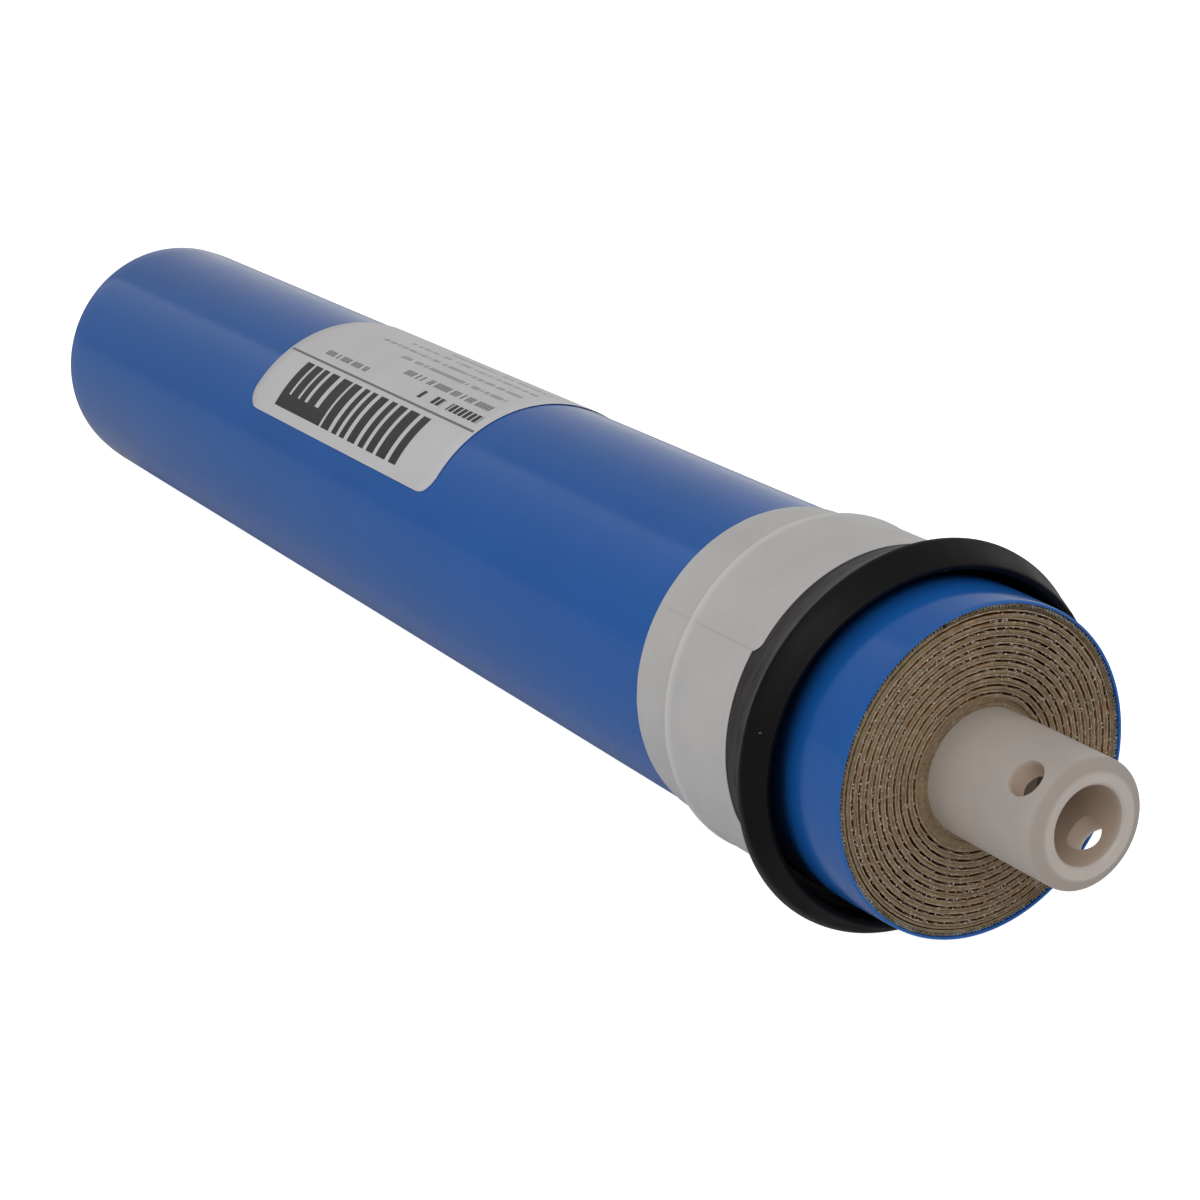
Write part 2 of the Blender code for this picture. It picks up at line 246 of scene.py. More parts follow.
def filleted(corners, steps=5):
    # a closed outline of (x, radius) whose corners are rounded to their own fillets
    outline = []
    for index, (x, radius, fillet) in enumerate(corners):
        here = Vector((x, radius))
        if fillet <= 0:
            outline.append((x, radius))
            continue
        before = Vector(corners[index - 1][:2]) - here
        after = Vector(corners[(index + 1) % len(corners)][:2]) - here
        half = before.angle(after) / 2
        reach = min(fillet / math.tan(half), before.length * 0.48, after.length * 0.48)
        start = here + before.normalized() * reach
        end = here + after.normalized() * reach
        for step in range(steps + 1):
            share = step / steps
            point = start.lerp(here, share).lerp(here.lerp(end, share), share)
            outline.append((point.x, point.y))
    return outline


def stationed(outline, longest):
    # more points along the long straight stretches
    made = []
    for index, here in enumerate(outline):
        after = outline[(index + 1) % len(outline)]
        pieces = max(1, math.ceil(math.dist(here, after) / longest))
        for step in range(pieces):
            share = step / pieces
            made.append((here[0] + (after[0] - here[0]) * share,
                         here[1] + (after[1] - here[1]) * share))
    return made


def sweep(shape, turns, outlineAt, closed=False):
    # A closed outline of (x, radius) carried round the axis through these degrees.
    # "wrapped" holds the length round and along in mm, and "across" the optional
    # third number of an outline's point.
    wrapped = shape.loops.layers.uv.get("wrapped") or shape.loops.layers.uv.new("wrapped")
    across = (shape.verts.layers.float.get("across")
              or shape.verts.layers.float.new("across"))
    rows = []
    lengths = []
    length = 0.0
    for index, degrees in enumerate(turns):
        outline = outlineAt(degrees)
        row = []
        for point in outline:
            vert = shape.verts.new(aroundAxis(point[0], point[1], degrees))
            vert[across] = point[2] if len(point) > 2 else 0.0
            row.append(vert)
        if index:
            length += math.radians(degrees - turns[index - 1]) * outline[0][1] / mm
        rows.append((row, outline))
        lengths.append(length)
    pairs = [(index, index + 1) for index in range(len(rows) - 1)]
    if closed:
        pairs.append((len(rows) - 1, 0))
        lengths.append(length + math.radians(360 + turns[0] - turns[-1]) * rows[0][1][0][1] / mm)
    count = len(rows[0][0])
    for place, (one, two) in enumerate(pairs):
        here, hereOutline = rows[one]
        there, thereOutline = rows[two]
        for corner in range(count):
            after = (corner + 1) % count
            face = shape.faces.new((here[corner], there[corner], there[after], here[after]))
            spots = ((place, hereOutline[corner]), (place + 1, thereOutline[corner]),
                     (place + 1, thereOutline[after]), (place, hereOutline[after]))
            for loop, (row, point) in zip(face.loops, spots):
                loop[wrapped].uv = (lengths[row], point[0] / mm)
    if not closed:
        shape.faces.new(rows[0][0])
        shape.faces.new(list(reversed(rows[-1][0])))


def turned(outline, sides, moved=None, turns=None):
    # a solid of revolution; moved(x, radius, degrees) may push its points about
    shape = bmesh.new()

    def outlineAt(degrees):
        return [moved(x, radius, degrees) for x, radius in outline] if moved else outline

    sweep(shape, turns or [360 * side / sides for side in range(sides)], outlineAt, closed=True)
    return shape


def circle(shape, centre, radius, first, second, sides):
    turns = [math.tau * step / sides for step in range(sides)]
    return [shape.verts.new(centre + radius * (math.cos(turn) * first + math.sin(turn) * second))
            for turn in turns]


def skinOver(shape, rings):
    # a closed rod through these rings of points
    for here, there in zip(rings, rings[1:]):
        for corner in range(len(here)):
            after = (corner + 1) % len(here)
            shape.faces.new((here[corner], here[after], there[after], there[corner]))
    shape.faces.new(rings[0])
    shape.faces.new(list(reversed(rings[-1])))


def addPiece(name, shape, materials, node, slotName, sharp=35):
    bmesh.ops.recalc_face_normals(shape, faces=shape.faces)
    piece = addMesh(name, shape)
    piece.data.shade_smooth()
    piece.data.set_sharp_from_angle(angle=math.radians(sharp))
    for material in materials:
        piece.data.materials.append(material)
    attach(piece, "root")
    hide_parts(node)
    print(f"{name}: {len(piece.data.polygons)} faces")
    return piece


# ---- what the finishes share

def startGroup(name, inputs, output):
    # places and stretches are vectors, the rest are plain numbers
    group = bpy.data.node_groups.new(name, "ShaderNodeTree")
    for label, value in inputs.items():
        kind = "NodeSocketFloat" if isinstance(value, float) else "NodeSocketVector"
        socket = group.interface.new_socket(label, in_out="INPUT", socket_type=kind)
        if value is not None:
            socket.default_value = value
    group.interface.new_socket(output, in_out="OUTPUT", socket_type="NodeSocketFloat")
    return group, group.nodes.new("NodeGroupInput").outputs


def endGroup(group, result):
    group.links.new(result, group.nodes.new("NodeGroupOutput").inputs[0])
    return group


def stretched(group, given, sizeName):
    # the place divided by its stretch, and how many patterns fit in one mm
    place = addNode(group, "ShaderNodeVectorMath", {0: given["Place"], 1: given["Stretch"]},
                    operation="DIVIDE").outputs[0]
    return place, maths(group, "DIVIDE", 1.0, given[sizeName])


def cloud(tree, place, scale, detail, output="Fac"):
    return addNode(tree, "ShaderNodeTexNoise",
                   {"Vector": place, "Scale": scale, "Detail": detail}).outputs[output]


def makeDriftGroup():
    # slow change of tone over a surface, between two levels
    group, given = startGroup("toneDrift", {"Place": None, "Size": 10.0, "Stretch": (1, 1, 1),
                                            "Low": 0.0, "High": 1.0}, "Tone")
    place, scale = stretched(group, given, "Size")
    tone = mapped(group, cloud(group, place, scale, 4.0), 0.3, 0.7, given["Low"], given["High"])
    return endGroup(group, tone)


def makeGrainGroup():
    # fine relief of two sizes, from 0 to 1
    group, given = startGroup("fineGrain", {"Place": None, "Size": 1.0, "Stretch": (1, 1, 1),
                                            "Fine Share": 0.35}, "Height")
    place, scale = stretched(group, given, "Size")
    fine = maths(group, "MULTIPLY", scale, 4.3)
    both = addNode(group, "ShaderNodeMix", {0: given["Fine Share"], 2: cloud(group, place, scale, 2.0),
                                            3: cloud(group, place, fine, 3.0)})
    return endGroup(group, both.outputs[0])


def makeMarksGroup():
    # scattered specks and short scuffs, 1 where one lies
    group, given = startGroup("handlingMarks", {"Place": None, "Spacing": 6.0, "Speck Size": 0.06,
                                                "Stretch": (1, 1, 1)}, "Mark")
    place, scale = stretched(group, given, "Spacing")
    pushed = addNode(group, "ShaderNodeVectorMath",
                     {0: cloud(group, place, 3.0, 2.0, "Color"), "Scale": 0.5}, operation="SCALE")
    bent = addNode(group, "ShaderNodeVectorMath", {0: place, 1: pushed.outputs[0]}, operation="ADD")
    cells = addNode(group, "ShaderNodeTexVoronoi",
                    {"Vector": bent.outputs[0], "Scale": scale, "Randomness": 1.0})
    return endGroup(group, mapped(group, cells.outputs["Distance"], given["Speck Size"], 0.0))


toneDrift = makeDriftGroup()
fineGrain = makeGrainGroup()
handlingMarks = makeMarksGroup()


def useGroup(tree, group, inputs):
    return addNode(tree, "ShaderNodeGroup", inputs, node_tree=group).outputs[0]


def drift(tree, place, size, low=0.0, high=1.0, stretch=(1, 1, 1)):
    return useGroup(tree, toneDrift, {"Place": place, "Size": size, "Stretch": stretch,
                                      "Low": low, "High": high})


def grain(tree, place, size, stretch=(1, 1, 1), fineShare=0.35):
    return useGroup(tree, fineGrain, {"Place": place, "Size": size, "Stretch": stretch,
                                      "Fine Share": fineShare})


def marks(tree, place, spacing, speck, stretch=(1, 1, 1)):
    return useGroup(tree, handlingMarks, {"Place": place, "Spacing": spacing,
                                          "Speck Size": speck, "Stretch": stretch})


def blended(tree, factor, first, second, share=None):
    # a colour mixed into another, wholly or by this share of the factor
    if share is not None:
        factor = maths(tree, "MULTIPLY", factor, share)
    first, second = (value if isinstance(value, bpy.types.NodeSocket) else (*value, 1.0)
                     for value in (first, second))
    return addNode(tree, "ShaderNodeMix", {0: factor, 6: first, 7: second},
                   data_type="RGBA").outputs[2]


def tint(tree, place, color, spread, size):
    # the colour, a little lighter here and darker there
    dark = tuple(channel * (1 - spread) for channel in color)
    light = tuple(channel * (1 + spread) for channel in color)
    return blended(tree, drift(tree, place, size), dark, light)


def startFinish(name):
    # an empty material, its shader, and places in mm: in the solid, and as wrapped
    finish, tree = emptied(bpy.data.materials.new(name))
    shader = tree.nodes.new("ShaderNodeBsdfPrincipled")
    addNode(tree, "ShaderNodeOutputMaterial", {"Surface": shader.outputs[0]})
    solid = addNode(tree, "ShaderNodeTexCoord").outputs["Object"]
    inMm = addNode(tree, "ShaderNodeVectorMath", {0: solid, "Scale": 1 / mm}, operation="SCALE")
    wrapped = addNode(tree, "ShaderNodeUVMap", uv_map="wrapped")
    return finish, tree, shader, inMm.outputs[0], wrapped.outputs[0]


def endFinish(tree, shader, place, base, roughness, relief):
    # roughness is (low, high, size); relief is of (height, depth in mm), one on the other
    low, high, size = roughness
    tree.links.new(base, shader.inputs["Base Color"])
    tree.links.new(drift(tree, place, size, low, high), shader.inputs["Roughness"])
    normal = None
    for height, depth in relief:
        inputs = {"Height": height, "Distance": depth * mm, "Strength": 1.0}
        if normal:
            inputs["Normal"] = normal
        normal = addNode(tree, "ShaderNodeBump", inputs).outputs[0]
    tree.links.new(normal, shader.inputs["Normal"])


def plainFinish(name, color, spread, size, roughness, grainSize, depth):
    finish, tree, shader, place, wrapped = startFinish(name)
    endFinish(tree, shader, place, tint(tree, place, color, spread, size), roughness,
              [(grain(tree, place, grainSize), depth)])
    return finish


# ---- core tube

tube = {
    "radius": tubeHigh.z,
    "bore": 5.1 * mm,
    "boreBreak": 0.4 * mm,
    "tipRun": 0.9 * mm,
    "tipDrop": 1.75 * mm,
    "spigotRun": 1.6 * mm,
    "spigotDrop": 1.0 * mm,
    "grooveRadius": 7.0 * mm,
    "grooveWidth": 2.6 * mm,
    "ringInsets": (5.5 * mm, 11.0 * mm),
    "crossHoleRadius": 2.35 * mm,
    "holeFlare": 0.32 * mm,           # how far the holes' mouths are eased
    "crossHoleInset": 5.0 * mm,
    "crossHoleAngle": 46,
    "drainRadius": 1.6 * mm,
    "drainPitch": 28 * mm,
    "firstDrain": -108 * mm,
    "drains": 8,
    "color": (0.585, 0.523, 0.480),
    "drawn": (0.50, 0.44, 0.39),      # faint lines drawn along the tube
    "speck": (0.38, 0.31, 0.25),
    "paintedBoreShade": (0.56, 0.43, 0.32),       # painted warm shade inside the bore and the holes
    "paintedShade": (0.41, 0.355, 0.315),     # painted shade on the bevel at the tip, and where the tube leaves the roll
}


def tubeFinish():
    finish, tree, shader, place, wrapped = startFinish("paleTube")
    base = tint(tree, place, tube["color"], 0.05, 9.0)
    drawn = grain(tree, place, 0.5, (14, 1, 1))
    base = blended(tree, drawn, base, tube["drawn"], 0.10)
    base = blended(tree, marks(tree, place, 2.6, 0.05), base, tube["speck"], 0.35)
    along = part(tree, place, "X")
    flat = addNode(tree, "ShaderNodeCombineXYZ", {1: part(tree, place, "Y"), 2: part(tree, place, "Z")})
    reach = addNode(tree, "ShaderNodeVectorMath", {0: flat.outputs[0]},
                    operation="LENGTH").outputs["Value"]
    tip, lip = tubeHigh.x / mm, (tube["radius"] - tube["tipDrop"]) / mm
    bevelStart = (tubeHigh.x - tube["tipRun"]) / mm
    # painted shade: the bevel at the tip and the tube next to the roll are painted darker
    paintedShade = maths(tree, "MULTIPLY", mapped(tree, reach, lip - 0.15, lip + 0.35, 0.0, 0.85),
                 mapped(tree, along, bevelStart - 0.35, bevelStart + 0.1))
    rollShade = mapped(tree, along, feedFace / mm + 4.5, feedFace / mm, 0.0, 0.6)
    base = blended(tree, maths(tree, "MAXIMUM", paintedShade, rollShade), base, tube["paintedShade"])
    # painted warm shade deep inside the bore and the holes
    inside = maths(tree, "MULTIPLY", mapped(tree, reach, 8.25, 7.6),
                   mapped(tree, along, tip - 0.5, tip - 1.4))
    base = blended(tree, inside, base, tube["paintedBoreShade"], 0.8)
    endFinish(tree, shader, place, base, (0.36, 0.50, 4.0),
              [(drawn, 0.006), (grain(tree, place, 0.35), 0.004)])
    for name, value in (("Subsurface Weight", 0.20), ("Subsurface Radius", (1.0, 0.75, 0.5)),
                        ("Subsurface Scale", 1.6 * mm), ("IOR", 1.49)):
        shader.inputs[name].default_value = value
    return finish


def makeCoreTube():
    radius, bore, boreBreak = tube["radius"], tube["bore"], tube["boreBreak"]
    half, floor = tube["grooveWidth"] / 2, tube["grooveRadius"]
    corners = [(tubeHigh.x, bore + boreBreak, 0.35 * mm),
               (tubeHigh.x, radius - tube["tipDrop"], 0.5 * mm),
               (tubeHigh.x - tube["tipRun"], radius, 0.5 * mm)]
    for inset in reversed(tube["ringInsets"]):
        middle = tubeLow.x + inset
        corners += [(middle + half, radius, 0.12 * mm), (middle + half, floor, 0.2 * mm),
                    (middle - half, floor, 0.2 * mm), (middle - half, radius, 0.12 * mm)]
    corners += [(tubeLow.x + tube["spigotRun"], radius, 0.5 * mm),
                (tubeLow.x, radius - tube["spigotDrop"], 0.3 * mm),
                (tubeLow.x, bore + boreBreak, 0.25 * mm),
                (tubeLow.x + boreBreak, bore, 0.3 * mm),
                (tubeHigh.x - boreBreak, bore, 0.3 * mm)]
    shape = turned(stationed(filleted(corners), 1.5 * mm), 128)
    piece = addPiece("coreTube", shape, [tubeFinish()], "core_tube", "tube_plastic")

    # the cross hole goes through both walls; the drains lie under the roll
    drills = bmesh.new()
    places = [(tubeHigh.x - tube["crossHoleInset"], tube["crossHoleAngle"], tube["crossHoleRadius"])]
    places += [(tube["firstDrain"] + index * tube["drainPitch"], 90 * (index % 2), tube["drainRadius"])
               for index in range(tube["drains"])]
    along = Vector((1, 0, 0))
    for x, degrees, reach in places:
        out = aroundAxis(0, 1, degrees)
        # each drill widens at the tube's outer skin, by these shares of the flare
        skinOver(drills, [
            circle(drills, Vector((x, 0, 0)) + out * radius * height,
                   reach + tube["holeFlare"] * more, along, along.cross(out), 48)
            for height, more in ((-1.5, 1), (-1.01, 1), (-0.965, 0.35), (-0.92, 0),
                                 (0.92, 0), (0.965, 0.35), (1.01, 1), (1.5, 1))])
    bmesh.ops.recalc_face_normals(drills, faces=drills.faces)
    cutter = addMesh("drills", drills)
    cut = piece.modifiers.new("holes", "BOOLEAN")
    cut.operation = "DIFFERENCE"
    cut.solver = "EXACT"
    cut.object = cutter
    graph = bpy.context.evaluated_depsgraph_get()
    holed = bpy.data.meshes.new_from_object(piece.evaluated_get(graph))
    piece.modifiers.clear()
    piece.data = holed
    holed.shade_smooth()
    holed.set_sharp_from_angle(angle=math.radians(32))
    bpy.data.objects.remove(cutter)


# ---- plug in the tube, and the O-rings on the spigot

plug = {
    "radius": plugHigh.z,
    "ease": 0.6 * mm,
    "dish": 0.8 * mm,
    "dishRadius": 3.2 * mm,
    "pip": 0.15 * mm,                 # hair-thin hole left down the middle
    "color": (0.50, 0.47, 0.43),
}


def makePlug():
    # a blind disc with eased edges, dished where the mould's ejector stood
    radius, ease, dished = plug["radius"], plug["ease"], plugHigh.x - plug["dish"]
    corners = [
        (plugLow.x, plug["pip"], 0), (plugLow.x, radius - ease, 0.3 * mm),
        (plugLow.x + ease, radius, 0.3 * mm), (plugHigh.x - ease, radius, 0.3 * mm),
        (plugHigh.x, radius - ease, 0.3 * mm), (plugHigh.x, plug["dishRadius"], 0.2 * mm),
        (dished, plug["dishRadius"] - 0.4 * mm, 0.2 * mm), (dished, plug["pip"], 0),
    ]
    finish = plainFinish("mouldedPlug", plug["color"], 0.07, 3.0, (0.40, 0.55, 2.0), 0.3, 0.006)
    addPiece("tubePlug", turned(filleted(corners), 64), [finish], "tube_plug", "plug_plastic")


ring = {"section": 0.95 * mm, "color": (0.016, 0.016, 0.017)}

rubber = {"bloom": (0.060, 0.056, 0.054), "speck": (0.42, 0.41, 0.40)}


def rubberFinish(name, color, low, high, dustAndSheen=None):
    finish, tree, shader, place, wrapped = startFinish(name)
    base = tint(tree, place, color, 0.18, 7.0)
    if dustAndSheen:
        # the back of the lip and the sleeve are painted grey in streaks round the axis: dust, and
        # painted sheen for the light the rubber catches at a glancing angle
        rim = (feedFace - seal["rimBack"]) / mm
        back = mapped(tree, part(tree, place, "X"), rim, rim - 0.7, 0.0, 0.8)
        streak = drift(tree, wrapped, 0.8, 0.55, 1.25, (7, 1, 1))
        base = blended(tree, maths(tree, "MULTIPLY", back, streak, clamp=True), base, dustAndSheen)
        shader.inputs["IOR"].default_value = 1.27
    bloom = maths(tree, "MAXIMUM", drift(tree, place, 16.0, -0.5, 0.20), 0.0)
    base = blended(tree, bloom, base, rubber["bloom"])
    base = blended(tree, marks(tree, place, 5.0, 0.035), base, rubber["speck"], 0.8)
    endFinish(tree, shader, place, base, (low, high, 5.0),
              [(grain(tree, place, 1.4), 0.005), (grain(tree, place, 0.22), 0.004)])
    return finish


def makeRings():
    material = rubberFinish("ringRubber", ring["color"], 0.38, 0.50)
    for name, node, inset in zip(("oRingOuter", "oRingInner"), ("o_ring_outer", "o_ring_inner"),
                                 tube["ringInsets"]):
        # the CAD ring is eight-sided, so its box falls short of the round section
        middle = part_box(node)[1].z - ring["section"] * math.cos(math.pi / 8)
        turns = [math.tau * step / 20 for step in range(20)]
        outline = [(tubeLow.x + inset + ring["section"] * math.cos(turn),
                    middle + ring["section"] * math.sin(turn)) for turn in turns]
        addPiece(name, turned(outline, 96), [material], node, "ring_rubber")


# ---- outer wrap

wrap = {
    "inner": 21.6 * mm,
    "endRadius": 21.95 * mm,
    "feedTaper": 8 * mm,
    "permeateTaper": 4 * mm,
    "lapAngle": 214,
    "film": 0.09 * mm,           # height of the lap's step
    "swell": 0.045 * mm,
    "color": (0.012, 0.131, 0.498),
    "streak": (0.030, 0.190, 0.560),
    "scuff": (0.16, 0.30, 0.58),
    # painted shade under the seal's lip: its colour, and the bands where it is painted
    "dark": (0.002, 0.006, 0.016),
    "paintedShades": ((5.5, 10.5, 0.35), (9.0, 12.0, 0.92)),   # mm from, mm to, how dark
}


def wrapFinish():
    finish, tree, shader, place, wrapped = startFinish("blueVinyl")
    base = tint(tree, place, wrap["color"], 0.05, 26.0)
    base = blended(tree, drift(tree, wrapped, 1.5, 0.0, 0.07, (30, 1, 1)), base, wrap["streak"])
    base = blended(tree, marks(tree, wrapped, 7.0, 0.022, (3, 1, 1)), base, wrap["scuff"], 0.5)
    # painted shade: it is painted darker where it runs in under the seal's lip, which shades it
    along, face = part(tree, place, "X"), feedFace / mm
    behind = maths(tree, "GREATER_THAN", along, face - 30)
    for near, far, dark in wrap["paintedShades"]:
        under = mapped(tree, along, face - near, face - far, 0.0, dark, "SMOOTHSTEP")
        base = blended(tree, maths(tree, "MULTIPLY", under, behind), base, wrap["dark"])
    endFinish(tree, shader, place, base, (0.11, 0.19, 12.0),
              [(grain(tree, wrapped, 5.0, (3, 1, 1), 0.2), 0.006),
               (grain(tree, place, 0.9), 0.0005)])
    shader.inputs["IOR"].default_value = 1.5
    return finish


def makeWrap():
    # film pulled tight round the roll, drawn in at both ends
    def skin(x):
        share = min((feedFace - x) / wrap["feedTaper"], (x - permeateFace) / wrap["permeateTaper"], 1.0)
        drawn = 1 - math.sqrt(max(0.0, 1 - (1 - share) ** 2))
        return wrapRadius - (wrapRadius - wrap["endRadius"]) * (drawn * 0.6 + (1 - share) * 0.4)

    stations = [0.0, 0.06, 0.2, 0.5, 1.0, 1.8, 3.0, 4.5, 6.2, 8.0]
    middle = 60
    first, last = feedFace - 8 * mm, permeateFace + 8 * mm
    outline = [(permeateFace, wrap["inner"]), (feedFace, wrap["inner"])]
    outline += [(feedFace - back * mm, skin(feedFace - back * mm)) for back in stations]
    outline += [(first + (last - first) * step / middle, wrapRadius) for step in range(1, middle)]
    outline += [(permeateFace + back * mm, skin(permeateFace + back * mm))
                for back in reversed(stations)]
    lap = wrap["lapAngle"]

    def moved(x, radius, degrees):
        if radius < wrap["inner"] + 0.01 * mm:
            return (x, radius)
        since = (degrees - lap) / 360                 # 0 just past the film's edge, 1 under it
        swell = ripple(x / (34 * mm), math.sin(math.radians(degrees)) * 1.6,
                       math.cos(math.radians(degrees)) * 1.6)
        edge = 0.35 if min(feedFace - x, x - permeateFace) < 1 * mm else 1.0
        return (x, radius - wrap["film"] * (1 - since) * edge + wrap["swell"] * (swell - 0.5))

    shape = turned(outline, 0, moved, [lap + 0.05 + 359.9 * step / 240 for step in range(241)])
    addPiece("outerWrap", shape, [wrapFinish()], "outer_wrap", "blue_vinyl", 30)


# ---- brine seal

seal = {
    "inner": 22.32 * mm,
    "sleeve": 23.45 * mm,
    "sleeveBack": 36 * mm,
    "flareStart": 19.5 * mm,
    "rimBack": 13.3 * mm,
    "rim": 26.7 * mm,
    "frontBack": 9 * mm,
    "front": 24.4 * mm,
    "root": 17.2 * mm,
    "lean": (0.016, 0.044),      # the rim's lean forward, by y and by z
    "frontLean": (0.075, 0.050),
    "sideways": -0.38 * mm,      # the loose lip hangs a little towards -Y
    "swell": 0.12 * mm,
    "color": (0.0045, 0.0045, 0.0050),
    # grey of the dust and the painted sheen on the back of the lip
    "dustAndSheen": (0.078, 0.072, 0.069),
}


def makeSeal():
    # distances back from the roll's feed face, then radius and fillet
    corners = [
        (seal["sleeveBack"], seal["inner"], 0.1 * mm),
        (seal["sleeveBack"], seal["sleeve"], 0.4 * mm),
        (seal["flareStart"] + 1.6 * mm, seal["sleeve"], 2.5 * mm),
        (seal["flareStart"] - 1.5 * mm, seal["sleeve"] + 0.55 * mm, 3 * mm),
        (seal["rimBack"] + 0.25 * mm, seal["rim"] - 0.05 * mm, 0.2 * mm),
        (seal["rimBack"] - 0.25 * mm, seal["rim"] - 0.1 * mm, 0.2 * mm),
        (seal["frontBack"], seal["front"], 0.30 * mm),
        (seal["frontBack"] + 0.5 * mm, seal["front"] - 0.75 * mm, 0.3 * mm),
        (seal["root"] - 1.2 * mm, seal["sleeve"] - 0.6 * mm, 0.8 * mm),
        (seal["root"], seal["inner"], 0.3 * mm),
    ]
    outline = stationed(filleted([(feedFace - back, radius, fillet)
                                  for back, radius, fillet in corners]), 0.9 * mm)

    def moved(x, radius, degrees):
        # the soft lip stands a little askew, more at its front edge than at its rim
        back = feedFace - x
        loose = smoothStep(seal["flareStart"] - back, 0, 6 * mm)
        front = smoothStep(seal["rimBack"] - back, 0, seal["rimBack"] - seal["frontBack"])
        point = aroundAxis(x, radius, degrees)
        leanY, leanZ = (rim * (1 - front) + edge * front
                        for rim, edge in zip(seal["lean"], seal["frontLean"]))
        swell = seal["swell"] * ripple(math.sin(math.radians(degrees)) * 1.3,
                                       math.cos(math.radians(degrees)) * 1.3, 4.0)
        x += loose * (leanY * point.y + leanZ * point.z + swell)
        radius -= loose * seal["sideways"] * math.sin(math.radians(degrees))
        return (x, radius)

    material = rubberFinish("sealRubber", seal["color"], 0.40, 0.52, seal["dustAndSheen"])
    addPiece("brineSeal", turned(outline, 192, moved), [material], "brine_seal", "seal_rubber", 40)


# ---- tape over the seal's sleeve

tape = {
    "low": wrapRadius + 0.04 * mm,
    "high": 23.49 * mm,
    "film": 0.075 * mm,
    "front": 21.0 * mm,
    "back": 45.0 * mm,
    "turns": (111, 777),         # where the strip starts and where its cut end lies
    "turnSteps": 436,
    "columns": 52,
    "layerShift": 0.7 * mm,
    "ridge": 0.20 * mm,          # where it stands over the sleeve's back edge
    "torn": 0.9 * mm,            # corner missing from the cut end
    "color": (0.665, 0.650, 0.635),
    "stain": (0.56, 0.57, 0.60),
    "speck": (0.30, 0.29, 0.28),
    # colour of the painted highlight along the ridge
    "pale": (0.86, 0.85, 0.83),
}


def tapeFinish():
    finish, tree, shader, place, wrapped = startFinish("whiteTape")
    base = tint(tree, place, tape["color"], 0.035, 7.0)
    stain = maths(tree, "MAXIMUM", drift(tree, wrapped, 2.2, -0.25, 0.16, (2.5, 1, 1)), 0.0)
    base = blended(tree, stain, base, tape["stain"])
    base = blended(tree, marks(tree, wrapped, 4.0, 0.02), base, tape["speck"], 0.4)
    # painted highlight: paler along the ridge over the sleeve's back edge, where the ridge catches the
    # light
    ridge = (feedFace - seal["sleeveBack"]) / mm
    away = maths(tree, "ABSOLUTE", maths(tree, "SUBTRACT", part(tree, place, "X"), ridge))
    base = blended(tree, mapped(tree, away, 1.5, 0.1, 0.0, 0.7, "SMOOTHSTEP"), base, tape["pale"])
    wrinkles = grain(tree, wrapped, 3.0, (1.0, 3.5, 1), 0.25)
    endFinish(tree, shader, wrapped, base, (0.34, 0.46, 5.0),
              [(wrinkles, 0.03), (grain(tree, place, 0.5), 0.003)])
    return finish


def makeTape():
    # one strip wound nearly twice, its second layer a little nearer the lip
    start, end = tape["turns"]

    def under(back):
        # the strip bridges the step behind the sleeve's back edge
        drop = smoothStep(back, seal["sleeveBack"] - 0.3 * mm, seal["sleeveBack"] + 1.5 * mm)
        ridge = tape["ridge"] * math.exp(-((back - seal["sleeveBack"] + 0.1 * mm) / (0.8 * mm)) ** 2)
        return tape["high"] + (tape["low"] - tape["high"]) * drop + ridge

    def outlineAt(degrees):
        along = degrees - start
        layer = smoothStep(along, 360, 372)
        lift = layer * (tape["film"] + 0.015 * mm)
        # the second layer lies nearer the lip, and its cut end has a torn corner
        wander = 0.08 * mm * ripple(degrees / 40, 3.0)
        torn = tape["torn"] * smoothStep(along, end - start - 2.5, end - start)
        front = tape["front"] + 0.9 * mm - 1.3 * mm * layer + wander + torn
        back = tape["back"] - tape["layerShift"] * 0.5 * layer + wander
        inside, outside = [], []
        for step in range(tape["columns"] + 1):
            # closer stations at the front edge
            place = front + (back - front) * (step / tape["columns"]) ** 1.35
            crinkle = 0.018 * mm * ripple(degrees / 9, place / (2.2 * mm), 7.0)
            bead = 0.05 * mm * math.exp(-((place - front - 0.55 * mm) / (0.2 * mm)) ** 2)
            pucker = bead + 0.03 * mm * smoothStep(place, seal["sleeveBack"] - 1 * mm, back) * ripple(
                degrees / 5, place / (5 * mm), 2.0)
            radius = under(place) + lift + crinkle + pucker
            inside.append((feedFace - place, radius))
            outside.append((feedFace - place, radius + tape["film"]))
        return inside + list(reversed(outside))

    shape = bmesh.new()
    steps = tape["turnSteps"]
    sweep(shape, [start + (end - start) * step / steps for step in range(steps + 1)], outlineAt)
    addPiece("sealTape", shape, [tapeFinish()], "seal_tape", "white_tape", 40)


# ---- label

label = {
    "low": 22.29 * mm,
    "high": 22.37 * mm,
    "angles": (-50, 61.4),
    "corner": 3.5 * mm,
    "paper": (0.80, 0.785, 0.80),
    "ink": (0.045, 0.040, 0.042),
    "paleInk": (0.36, 0.35, 0.36),
    # printed fields: height round the body and spans along it, in mm from the lower near corner
    "rule": (12.1, 12.55, 0.6, 65.4),
    "bars": (2.0, 11.2, 12.5, 57.0),
    "block": (2.0, 4.6, 40.0, 55.0),
    "boldLines": [(13.8, 15.6, 2.4, 12.5), (13.8, 15.6, 14.5, 24.0)],
    "greyLines": [(17.0, 18.4, 3.0, 34.0), (14.0, 15.2, 40.0, 56.0)],
    "fineLines": [(20.4, 21.3, 5.0, 40.0), (23.2, 24.0, 5.0, 52.0), (26.0, 26.8, 5.0, 47.0),
                  (28.8, 29.6, 5.0, 38.0)],
}

bandSockets = ("Round", "Along", "Round From", "Round To", "Along From", "Along To")


